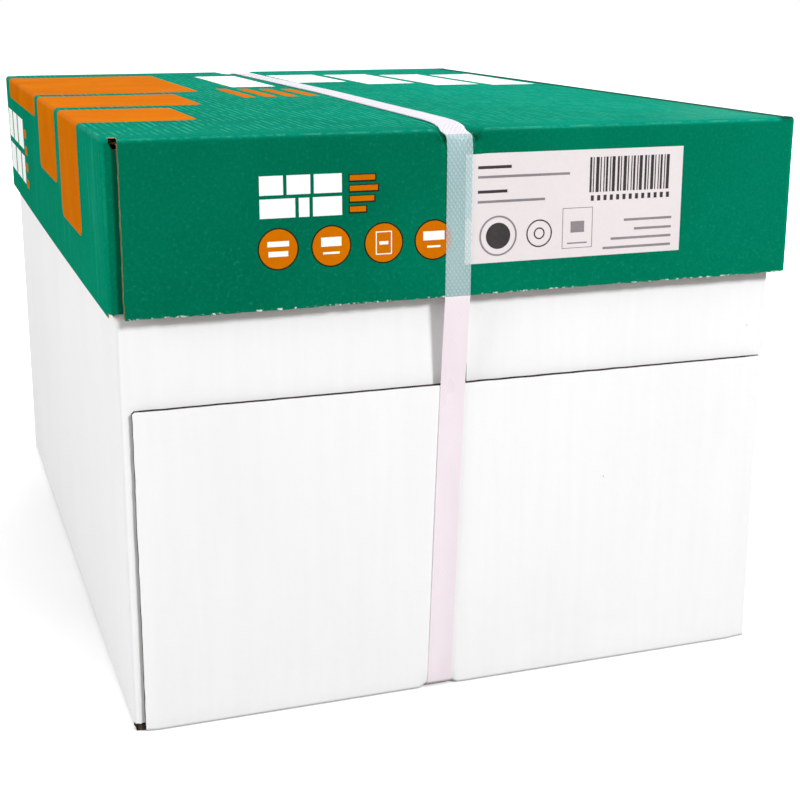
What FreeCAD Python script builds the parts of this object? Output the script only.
"""A strapped carton of A3 copy paper, built as a parametric document.

Lengths are in millimetres. X runs along the front end, Y along the long side with the front
end at negative Y, and Z up. The origin is the middle of the underside.
"""
import os

import FreeCAD
import Part
import Sketcher

# Sizes that drive the model
SIZES = {
    # paper and reams
    "sheet_width": 297.0,
    "sheet_length": 420.0,
    "ream_height": 50.4,
    "wrap_radius": 1.2,
    "lap_thick": 0.4,
    "lap_margin": 5.0,
    "lap_slope": 24.0,
    # room round the stack, and between tray and lid
    "side_gap": 1.5,
    "end_gap": 1.5,
    "wall_drop": 2.0,
    "lid_gap": 1.0,
    # corrugated board: its folds, liners and flutes
    "tray_board": 3.0,
    "lid_board": 3.0,
    "crease": 0.5,
    "fold_radius": 2.0,
    "corner_seam": 0.8,
    "liner": 0.4,
    "flute_pitch": 6.5,
    "flute_crest": 1.1,
    "flute_web": 0.4,
    "flute_mouth": 5.0,
    "edge_groove": 1.6,
    # outer end flaps of the tray
    "flap_height": 145.6,
    "flap_inset_left": 4.6,
    "flap_inset_right": 2.0,
    "flap_corner": 2.0,
    # skirt of the lid, its corner tabs and its outer end panels
    "skirt": 72.0,
    "tab_short": 2.2,
    "panel_inset_left": 6.8,
    "panel_inset_right": 0.6,
    # strap, which runs askew, its weld, and the dents it pulls into the folds
    "strap_width": 11.7,
    "strap_thick": 0.6,
    "strap_shift": -8.75,
    "strap_drift": 6.5,
    "strap_lean": 5.0,
    "strap_bend": 8.0,
    "strap_play": 0.2,
    "weld_length": 30.0,
    "weld_height": 60.0,
    "dent_reach": 10.0,
    "dent_skin": 0.1,
}
REAMS = 5


class Length:
    """A length: its number, and the formula that the document keeps for it."""

    def __init__(self, value, text):
        self.value = value
        self.text = text

    def join(self, other, sign, value):
        text = other.text if isinstance(other, Length) else repr(float(other))
        return Length(value, f"({self.text} {sign} {text})")

    def __add__(self, other):
        return self.join(other, "+", self.value + number(other))

    def __sub__(self, other):
        return self.join(other, "-", self.value - number(other))

    def __mul__(self, other):
        return self.join(other, "*", self.value * number(other))

    def __truediv__(self, other):
        return self.join(other, "/", self.value / number(other))

    def __neg__(self):
        return Length(-self.value, f"(-1 * {self.text})")


def number(item):
    return item.value if isinstance(item, Length) else float(item)


def size(name):
    return Length(SIZES[name], f"Sizes.{name}")


# Sizes that follow from the driving ones
NOTHING = Length(0.0, "0")
BOARD = size("tray_board")
COVER = size("lid_board")
STACK_TOP = BOARD + size("ream_height") * REAMS
TRAY_X = size("sheet_width") / 2 + size("side_gap")
TRAY_Y = size("sheet_length") / 2 + size("lap_thick") + size("end_gap")
TRAY_TOP = STACK_TOP - size("wall_drop")
FLAP_FACE = TRAY_Y + BOARD * 2
LID_X = TRAY_X + BOARD + size("lid_gap")
LID_Y = TRAY_Y + BOARD + size("lid_gap")
LID_TOP = STACK_TOP + COVER
LID_HEM = LID_TOP - size("skirt")
PANEL_FACE = LID_Y + COVER * 2


def strap_centre(y, z):
    """The middle of the strap across the box, which drifts along it and leans up it."""
    drift = size("strap_drift") * (y / (PANEL_FACE * 2))
    lean = size("strap_lean") * (z / LID_TOP)
    return size("strap_shift") + drift + lean


def add_sheet(doc):
    """Write the driving sizes into the document's spreadsheet."""
    sheet = doc.addObject("Spreadsheet::Sheet", "Sizes")
    for row, (name, value) in enumerate(SIZES.items(), start=1):
        sheet.set(f"A{row}", name)
        sheet.set(f"B{row}", str(value))
        sheet.setAlias(f"B{row}", name)
    doc.recompute()


def new_body(doc, name):
    body = doc.addObject("PartDesign::Body", name)
    body.Label = name
    return body


def new_sketch(body, name, plane, offset=NOTHING):
    """Start a sketch on one of the body's own planes, moved off along its normal."""
    origin = [item for item in body.Origin.OriginFeatures if item.Role == plane][0]
    sketch = body.newObject("Sketcher::SketchObject", f"{body.Name}_{name}")
    sketch.AttachmentSupport = (origin, [""])
    sketch.MapMode = "FlatFace"
    sketch.setExpression("AttachmentOffset.Base.z", offset.text)
    return sketch


def add_feature(body, kind, name):
    return body.newObject(f"PartDesign::{kind}", f"{body.Name}_{name}")


def pin(sketch, edge, end, point):
    """Hold one end of an edge at a point given by two lengths."""
    for kind, length in zip(("DistanceX", "DistanceY"), point):
        rule = Sketcher.Constraint(kind, -1, 1, edge, end, length.value)
        row = sketch.addConstraint(rule)
        sketch.setExpression(f"Constraints[{row}]", length.text)


def flat(point):
    return FreeCAD.Vector(point[0].value, point[1].value, 0)


def towards(start, end, reach):
    """The point at a distance from start along an edge that is parallel to an axis."""
    moved = []
    for here, there in zip(start, end):
        gap = there.value - here.value
        if abs(gap) < 1e-9:
            moved.append(here)
        else:
            moved.append(here + reach if gap > 0 else here - reach)
    return tuple(moved)


def draw_line(sketch, start, end):
    edge = sketch.addGeometry(Part.LineSegment(flat(start), flat(end)), False)
    pin(sketch, edge, 1, start)
    pin(sketch, edge, 2, end)


def draw_round(sketch, corner, arrive, leave, radius):
    """Draw the quarter round that replaces a sharp corner."""
    centre = flat(arrive) + flat(leave) - flat(corner)
    middle = centre + (flat(corner) - centre).normalize() * radius.value
    edge = sketch.addGeometry(Part.Arc(flat(arrive), middle, flat(leave)), False)
    left_turn = (flat(arrive) - centre).cross(flat(leave) - centre).z > 0
    pin(sketch, edge, 1 if left_turn else 2, arrive)
    pin(sketch, edge, 2 if left_turn else 1, leave)
    row = sketch.addConstraint(Sketcher.Constraint("Radius", edge, radius.value))
    sketch.setExpression(f"Constraints[{row}]", radius.text)


def draw_outline(sketch, corners):
    """Draw a closed outline from corners (x, y) or, where it is rounded, (x, y, radius).

    The edges beside a rounded corner are parallel to an axis.
    """
    points = [corner[:2] for corner in corners]
    count = len(points)
    arrivals = list(points)
    departures = list(points)
    for index, corner in enumerate(corners):
        if len(corner) == 3:
            before = points[index - 1]
            after = points[(index + 1) % count]
            arrivals[index] = towards(points[index], before, corner[2])
            departures[index] = towards(points[index], after, corner[2])
            draw_round(sketch, points[index], arrivals[index], departures[index], corner[2])
    for index in range(count):
        start = departures[index]
        end = arrivals[(index + 1) % count]
        if (flat(start) - flat(end)).Length > 1e-6:
            draw_line(sketch, start, end)


def pad(body, name, sketch, length, both_ways=False):
    feature = add_feature(body, "Pad", name)
    feature.Profile = sketch
    feature.Midplane = both_ways
    feature.setExpression("Length", length.text)
    return feature


def pocket(body, name, sketch, length, upwards):
    feature = add_feature(body, "Pocket", name)
    feature.Profile = sketch
    feature.Reversed = upwards
    feature.setExpression("Length", length.text)
    return feature


class Blank:
    """One corrugated blank folded into an open box, from its flat panel inwards."""

    def __init__(self, body, outside, inwards, board, half_x, half_y):
        self.body = body
        self.outside = outside
        self.inwards = inwards
        self.board = board
        self.half_x = half_x
        self.half_y = half_y
        self.inner = size("crease")
        self.outer = size("fold_radius")
        self.start = size("crease") + board
        self.end_face = half_y + board * 2

    def level(self, depth):
        """The height of what lies at a depth from the outside of the flat panel."""
        return self.outside + depth if self.inwards > 0 else self.outside - depth

    def add_panel_and_walls(self, depth):
        """The flat panel, with a long wall folded from it at each side."""
        near = self.half_x
        far = self.half_x + self.board
        low = self.level(NOTHING)
        web = self.level(self.board)
        rim = self.level(depth)
        sketch = new_sketch(self.body, "wall_profile", "XZ_Plane")
        draw_outline(sketch, [
            (-far, low, self.outer), (far, low, self.outer), (far, rim), (near, rim),
            (near, web, self.inner), (-near, web, self.inner), (-near, rim), (-far, rim),
        ])
        length = (self.half_y - self.inner) * 2
        pad(self.body, "panel_and_walls", sketch, length, both_ways=True)

    def add_corner_flaps(self, depth):
        """The four flaps that turn from the long walls round the ends."""
        lowest = self.level(self.start) if self.inwards > 0 else self.level(depth)
        sketch = new_sketch(self.body, "corner_profile", "XY_Plane", lowest)
        for side in (-1, 1):
            for end in (-1, 1):
                self.draw_corner_flap(sketch, side, end)
        pad(self.body, "corner_flaps", sketch, depth - self.start)

    def draw_corner_flap(self, sketch, side, end):
        near = self.half_x * side
        far = (self.half_x + self.board) * side
        back = (self.half_y - self.inner) * end
        inside = self.half_y * end
        outside = (self.half_y + self.board) * end
        seam = size("corner_seam") / 2 * side
        draw_outline(sketch, [
            (far, back), (far, outside, self.outer), (seam, outside),
            (seam, inside), (near, inside, self.inner), (near, back),
        ])

    def add_end_flaps(self, depth, left, right, cut):
        """The outer end flaps, folded from the flat panel over the corner flaps."""
        near = left - self.half_x - self.board
        far = self.half_x + self.board - right
        for end, name in ((-1, "front"), (1, "back")):
            fold = new_sketch(self.body, f"{name}_fold_profile", "YZ_Plane", near)
            self.draw_fold(fold, end)
            pad(self.body, f"{name}_fold", fold, far - near)
            plane = (self.half_y + self.board) * -end
            flap = new_sketch(self.body, f"{name}_flap_outline", "XZ_Plane", plane)
            self.draw_flap(flap, near, far, depth, cut)
            plate = pad(self.body, f"{name}_flap", flap, self.board)
            plate.Reversed = end > 0

    def draw_fold(self, sketch, end):
        """The strip of the flat panel that turns into an end flap."""
        back = (self.half_y - self.inner * 2) * end
        inside = (self.half_y + self.board) * end
        face = self.end_face * end
        low = self.level(NOTHING)
        web = self.level(self.board)
        start = self.level(self.start)
        draw_outline(sketch, [
            (back, low), (face, low, self.outer), (face, start),
            (inside, start), (inside, web, self.inner), (back, web),
        ])

    def draw_flap(self, sketch, near, far, depth, cut):
        """An end flap, square or with its two free corners cut off."""
        start = self.level(self.start)
        rim = self.level(depth)
        if cut is None:
            draw_outline(sketch, [(near, start), (far, start), (far, rim), (near, rim)])
        else:
            shoulder = self.level(depth - cut)
            draw_outline(sketch, [
                (near, start), (far, start), (far, shoulder),
                (far - cut, rim), (near + cut, rim), (near, shoulder),
            ])

    def press_dents(self, seat):
        """The folds that the strap crushes: full under it, fading out on both sides."""
        reach = size("dent_reach")
        full = (size("strap_bend"), seat, NOTHING)
        faded = (self.outer - size("dent_skin"), -size("dent_skin") / 4, size("dent_skin") / 4)
        for end, name in ((-1, "front"), (1, "back")):
            middle = strap_centre(self.end_face * end, self.outside)
            half = size("strap_width") / 2 + size("strap_play")
            stations = [
                (middle - half - reach, faded), (middle - half, full),
                (middle + half, full), (middle + half + reach, faded),
            ]
            rings = []
            for index, (place, shape) in enumerate(stations):
                sketch = new_sketch(self.body, f"{name}_dent_{index}", "YZ_Plane", place)
                self.draw_dent(sketch, end, *shape)
                rings.append(sketch)
            dent = add_feature(self.body, "SubtractiveLoft", f"{name}_dent")
            dent.Profile = rings[0]
            dent.Sections = rings[1:]
            dent.Ruled = True

    def draw_dent(self, sketch, end, radius, seat, proud):
        """The waste between a square fold and one of this radius."""
        face = (self.end_face + proud) * end
        beyond = (self.end_face + self.board) * end
        back = (self.end_face - size("strap_bend") - self.board) * end
        low = self.level(seat)
        below = self.level(-self.board)
        rise = self.level(seat + size("strap_bend") + self.board)
        draw_outline(sketch, [
            (back, low), (face, low, radius), (face, rise),
            (beyond, rise), (beyond, below), (back, below),
        ])

    def open_edges(self, depth, left, right):
        """The cut edges of the end flaps: flute mouths at the rim, grooves up the sides."""
        near = left - self.half_x - self.board
        far = self.half_x + self.board - right
        self.cut_side_grooves(near, far, depth)
        for end, name in ((-1, "front"), (1, "back")):
            self.cut_flute_mouths(name, end, near, far, depth)

    def cut_side_grooves(self, near, far, depth):
        """The flute that each side cut leaves half open, all the way up the flap."""
        rim = self.level(depth)
        sketch = new_sketch(self.body, "side_grooves_outline", "XY_Plane", rim)
        deep = size("edge_groove")
        for end in (-1, 1):
            inner = (self.half_y + self.board + size("liner")) * end
            outer = (self.end_face - size("liner")) * end
            for edge, side in ((near, 1), (far, -1)):
                bottom = edge + deep * side
                beyond = edge - deep * side
                draw_outline(sketch, [
                    (beyond, inner), (bottom, inner), (bottom, outer), (beyond, outer),
                ])
        upwards = self.inwards < 0
        pocket(self.body, "side_grooves", sketch, depth - self.start, upwards)

    def cut_flute_mouths(self, name, end, near, far, depth):
        """The open ends of the flutes along one rim, a pair of mouths to each pitch."""
        pitch = size("flute_pitch")
        room = far - near - pitch * 2
        fitted = Length(room.value // pitch.value, f"floor({(room / pitch).text})")
        span = pitch * (fitted - 1)
        first = (near + far - span) / 2
        sketch = new_sketch(self.body, f"{name}_mouths_outline", "XY_Plane", self.level(depth))
        inner = (self.half_y + self.board + size("liner")) * end
        outer = (self.end_face - size("liner")) * end
        self.draw_mouth(sketch, first - pitch / 4, outer, inner)
        self.draw_mouth(sketch, first + pitch / 4, inner, outer)
        upwards = self.inwards < 0
        mouth = pocket(self.body, f"{name}_mouths", sketch, size("flute_mouth"), upwards)
        row = add_feature(self.body, "LinearPattern", f"{name}_mouth_row")
        row.Originals = [mouth]
        row.Direction = (sketch, ["H_Axis"])
        row.setExpression("Length", span.text)
        row.setExpression("Occurrences", fitted.text)
        self.body.Tip = row

    def draw_mouth(self, sketch, middle, wide, narrow):
        """One mouth: wide against one liner, and a crest's width against the other."""
        crest = size("flute_crest") / 2
        base = size("flute_pitch") / 2 - crest - size("flute_web")
        draw_outline(sketch, [
            (middle - base, wide), (middle + base, wide),
            (middle + crest, narrow), (middle - crest, narrow),
        ])


def build_tray(doc):
    """The white tray: bottom, long walls, corner flaps and glued end flaps."""
    body = new_body(doc, "tray")
    blank = Blank(body, NOTHING, 1, BOARD, TRAY_X, TRAY_Y)
    blank.add_panel_and_walls(TRAY_TOP)
    blank.add_corner_flaps(TRAY_TOP)
    blank.add_end_flaps(size("flap_height"), size("flap_inset_left"),
                        size("flap_inset_right"), size("flap_corner"))
    blank.press_dents(size("strap_thick"))
    press_strap_channel(body)
    blank.open_edges(size("flap_height"), size("flap_inset_left"), size("flap_inset_right"))
    return body


def press_strap_channel(body):
    """The shallow channel that the strap presses across the underside."""
    half = size("strap_width") / 2 + size("strap_play")
    front = strap_centre(-FLAP_FACE, NOTHING)
    back = strap_centre(FLAP_FACE, NOTHING)
    sketch = new_sketch(body, "channel_outline", "XY_Plane")
    draw_outline(sketch, [
        (front - half, -FLAP_FACE), (front + half, -FLAP_FACE),
        (back + half, FLAP_FACE), (back - half, FLAP_FACE),
    ])
    pocket(body, "strap_channel", sketch, size("strap_thick"), True)


def build_lid(doc):
    """The green lid: top, long skirts, corner tabs and glued end panels."""
    body = new_body(doc, "lid")
    blank = Blank(body, LID_TOP, -1, COVER, LID_X, LID_Y)
    blank.add_panel_and_walls(size("skirt"))
    blank.add_corner_flaps(size("skirt") - size("tab_short"))
    blank.add_end_flaps(size("skirt"), size("panel_inset_left"),
                        size("panel_inset_right"), None)
    blank.press_dents(NOTHING)
    blank.open_edges(size("skirt"), size("panel_inset_left"), size("panel_inset_right"))
    return body


def build_strap(doc):
    """The strap: a leaning slab of its width, cut away outside and inside the loop."""
    body = new_body(doc, "strap")
    spare = size("strap_bend")
    rings = []
    for index, level in enumerate((-spare, LID_TOP + spare)):
        ring = new_sketch(body, f"width_{index}", "XY_Plane", level)
        draw_strap_width(ring, level, PANEL_FACE + spare)
        rings.append(ring)
    slab = add_feature(body, "AdditiveLoft", "slab")
    slab.Profile = rings[0]
    slab.Sections = rings[1:]
    slab.Ruled = True
    sketch = new_sketch(body, "loop_profile", "YZ_Plane")
    far = PANEL_FACE + spare * 2
    low = -spare * 2
    high = LID_TOP + spare * 2
    draw_outline(sketch, [(-far, low), (far, low), (far, high), (-far, high)])
    draw_outline(sketch, loop_corners(size("strap_thick"), size("strap_thick")))
    draw_outline(sketch, loop_corners(NOTHING, None))
    loop = add_feature(body, "Pocket", "loop")
    loop.Profile = sketch
    loop.Midplane = True
    loop.setExpression("Length", (size("strap_width") * 8).text)
    return body


def draw_strap_width(sketch, level, reach):
    half = size("strap_width") / 2
    front = strap_centre(-reach, level)
    back = strap_centre(reach, level)
    draw_outline(sketch, [
        (front - half, -reach), (front + half, -reach),
        (back + half, reach), (back - half, reach),
    ])


def loop_corners(thick, weld):
    """One side of the strap, inner at no thickness, with the weld's step on the outer."""
    bend = size("strap_bend") + thick
    low = size("strap_thick") - thick
    high = LID_TOP + thick
    flap = FLAP_FACE + thick
    panel = PANEL_FACE + thick
    turn = size("flap_height")
    corners = [(-flap, low, bend), (flap, low, bend)]
    if weld is not None:
        foot = size("weld_height")
        head = foot + size("weld_length")
        corners += [(flap, foot), (flap + weld, foot), (flap + weld, head), (flap, head)]
    return corners + [
        (flap, turn), (panel, LID_HEM), (panel, high, bend),
        (-panel, high, bend), (-panel, LID_HEM), (-flap, turn),
    ]


def build_ream(doc, index):
    """One sealed pack of paper, with its wrapper round the long edges and lapped at both ends."""
    body = new_body(doc, f"ream_{index + 1}")
    base = BOARD + size("ream_height") * index
    top = base + size("ream_height")
    half_x = size("sheet_width") / 2
    half_y = size("sheet_length") / 2
    bend = size("wrap_radius")
    sketch = new_sketch(body, "wrap_profile", "XZ_Plane")
    draw_outline(sketch, [
        (-half_x, base, bend), (half_x, base, bend), (half_x, top, bend), (-half_x, top, bend),
    ])
    pad(body, "pack", sketch, size("sheet_length"), both_ways=True)
    add_end_laps(body, base, half_x, half_y)
    return body


def add_end_laps(body, base, half_x, half_y):
    """The glued lap of the wrapper on each end of a pack."""
    low = base + size("wrap_radius")
    high = base + size("ream_height") - size("lap_margin")
    wide = half_x - size("lap_margin")
    narrow = wide - size("lap_slope")
    for end, name in ((-1, "front"), (1, "back")):
        sketch = new_sketch(body, f"{name}_lap_profile", "XZ_Plane", half_y * -end)
        draw_outline(sketch, [(-wide, low), (wide, low), (narrow, high), (-narrow, high)])
        lap = pad(body, f"{name}_lap", sketch, size("lap_thick"))
        lap.Reversed = end > 0


def check(doc):
    """Stop if any feature failed or left no valid solid."""
    for item in doc.Objects:
        if {"Invalid", "Error"} & set(item.State):
            raise RuntimeError(f"{item.Name} failed: {item.State}")
        if item.TypeId == "PartDesign::Body":
            shape = item.Shape
            if shape.isNull() or not shape.isValid() or len(shape.Solids) != 1:
                raise RuntimeError(f"{item.Label} is not one valid solid")


def main():
    doc = FreeCAD.newDocument("carton")
    add_sheet(doc)
    bodies = [build_tray(doc), build_lid(doc), build_strap(doc)]
    bodies += [build_ream(doc, index) for index in range(REAMS)]
    doc.recompute()
    check(doc)
    os.makedirs("parts", exist_ok=True)
    for body in bodies:
        body.Shape.exportStep(f"parts/{body.Label}.step")
        box = body.Shape.BoundBox
        print(body.Label, round(body.Shape.Volume), round(box.XMin, 2), round(box.XMax, 2),
              round(box.YMin, 2), round(box.YMax, 2), round(box.ZMin, 2), round(box.ZMax, 2))


main()
